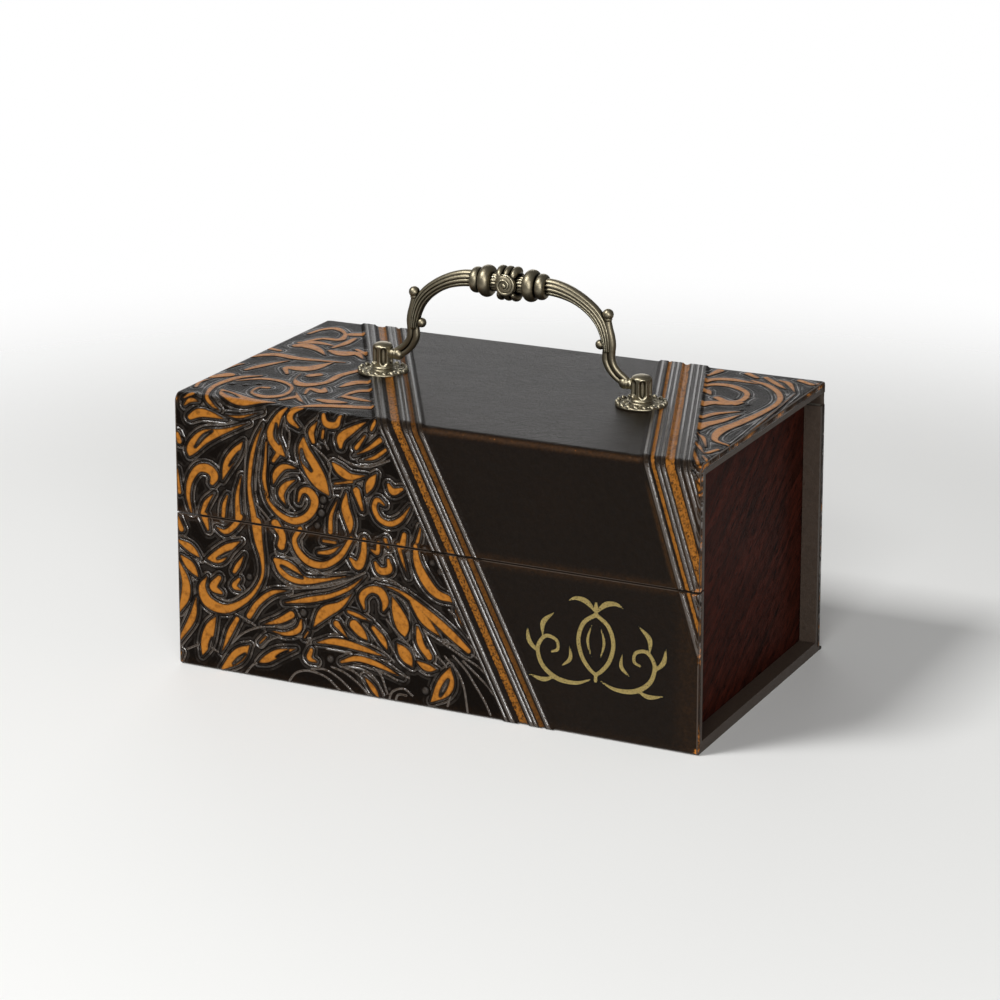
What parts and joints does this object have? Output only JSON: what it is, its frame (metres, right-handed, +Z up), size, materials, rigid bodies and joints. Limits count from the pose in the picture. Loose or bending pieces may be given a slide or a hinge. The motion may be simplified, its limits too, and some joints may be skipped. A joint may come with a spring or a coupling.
{
  "type": "etrog box",
  "caption": "Rectangular keepsake box for a citron: wooden box in an embossed leatherette case, hinged lid with a front flap, and a swinging bail handle on fluted posts.",
  "frame": {"origin": "on the table, under the middle of the case", "axes": "+X to the right along the front, +Y from the front to the back, +Z up, with the lid shut and the handle upright"},
  "size_m": [0.2, 0.117, 0.1454],
  "materials": {
    "leatherette": "embossed and antiqued, semi-gloss",
    "board": "matt grey cardboard",
    "mahogany": "glossy varnish",
    "velvet": "matt pile",
    "antique_brass": "antiqued, polished high spots",
    "steel": "plain zinc",
    "magnet": "nickel plated"
  },
  "bodies": {
    "case": {"base_board": "board", "front_board": "board", "back_board": "board", "base_cover": "leatherette", "front_cover": "leatherette", "back_cover": "leatherette", "hinge_strip": "leatherette", "end_panel_left": "mahogany", "end_panel_right": "mahogany", "inner_front_wall": "mahogany", "inner_back_wall": "mahogany", "inner_floor": "mahogany", "nest_cushion": "velvet", "lining_front": "velvet", "lining_back": "velvet", "lining_left": "velvet", "lining_right": "velvet", "case_magnet_left": "magnet", "case_magnet_right": "magnet"},
    "lid": {"lid_board": "board", "flap_board": "board", "lid_cover": "leatherette", "lid_pad": "velvet", "flap_lining": "velvet", "lid_magnet_left": "magnet", "lid_magnet_right": "magnet", "post_left": "antique_brass", "post_right": "antique_brass", "rosette_left": "antique_brass", "rosette_right": "antique_brass", "post_screw_left": "steel", "post_screw_right": "steel", "screw_washer_left": "steel", "screw_washer_right": "steel"},
    "handle": {"bail_handle": "antique_brass"}
  },
  "joints": [
    {"name": "lid_hinge", "type": "hinge", "parent": "case", "child": "lid", "pos_m": [0, 0.0576, 0.09475], "axis": [-1, 0, 0], "range_deg": [0, 110], "deforming": ["hinge_strip"]},
    {"name": "handle_swing", "type": "hinge", "parent": "lid", "child": "handle", "pos_m": [0.0035, 0, 0.1083], "axis": [1, 0, 0], "range_deg": [-90, 90]}
  ]
}
